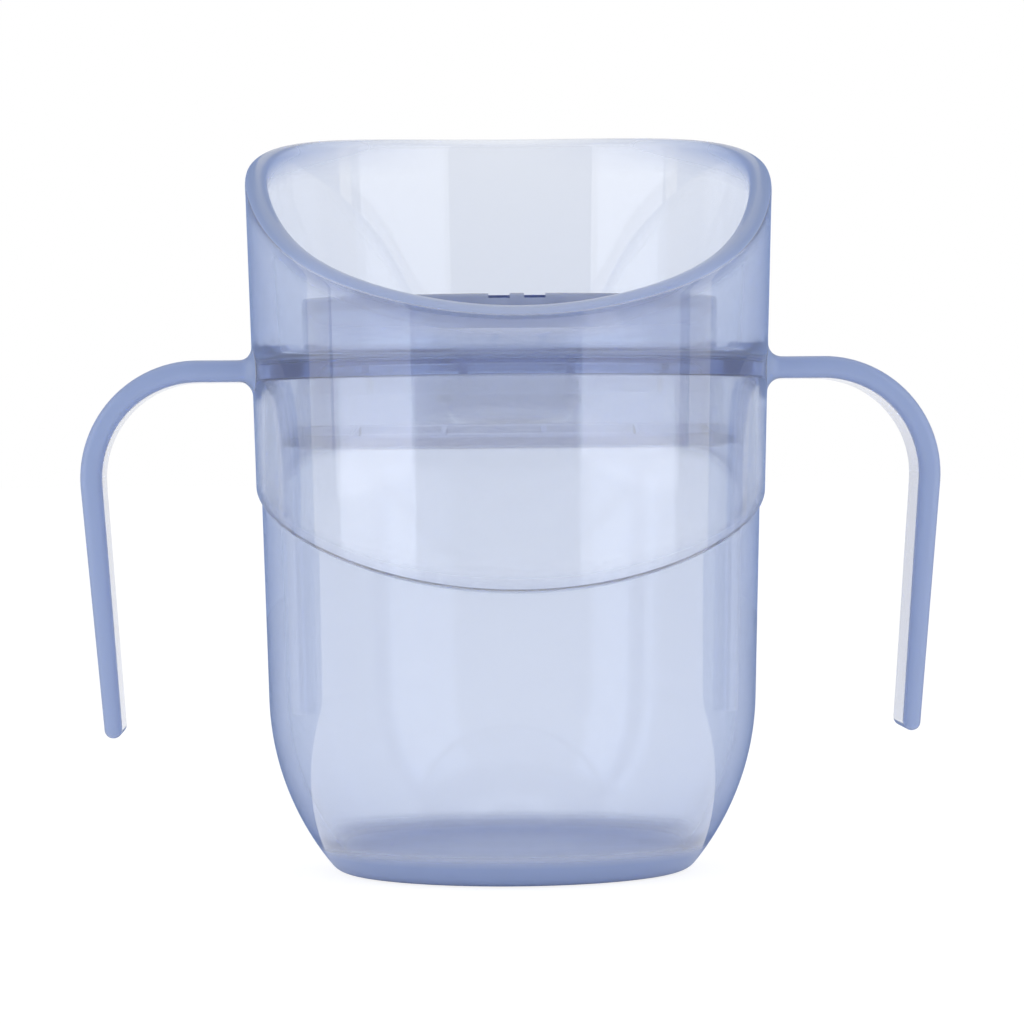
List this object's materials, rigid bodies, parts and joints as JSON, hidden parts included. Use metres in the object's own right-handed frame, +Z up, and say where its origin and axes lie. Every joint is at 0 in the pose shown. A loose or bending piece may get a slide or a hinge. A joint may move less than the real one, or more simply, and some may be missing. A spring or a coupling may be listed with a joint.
{
  "type": "training cup",
  "caption": "Translucent toddler training cup with side strap handles, a slanted high-backed drinking collar, a lift-out flow limiter and a pull-off reservoir cup.",
  "frame": {"origin": "centre of the flat that the cup stands on, on the cup's axis", "axes": "+Z up the cup's axis, -Y towards the low drinking lip, +X towards the right handle as the drinker's partner sees it"},
  "size_m": [0.126, 0.0772, 0.1106],
  "materials": {
    "translucent_plastic": "polished translucent polypropylene, lavender blue",
    "silicone": "translucent moulded silicone"
  },
  "bodies": {
    "reservoir": {"reservoir_cup": "translucent_plastic"},
    "collar": {"drinking_collar": "translucent_plastic", "left_handle": "translucent_plastic", "right_handle": "translucent_plastic", "plug_seal": "silicone"},
    "limiter": {"limiter_base": "translucent_plastic", "limiter_o_ring": "silicone", "dosing_valve": "silicone"},
    "cap": {"limiter_cap": "translucent_plastic"}
  },
  "joints": [
    {"name": "collar_lift", "type": "slide", "parent": "reservoir", "child": "collar", "axis": [0, 0, 1], "range_m": [0, 0.09]},
    {"name": "limiter_lift", "type": "slide", "parent": "collar", "child": "limiter", "axis": [0, 0, 1], "range_m": [0, 0.05]},
    {"name": "cap_lift", "type": "slide", "parent": "limiter", "child": "cap", "axis": [0, 0, 1], "range_m": [0, 0.03]}
  ]
}
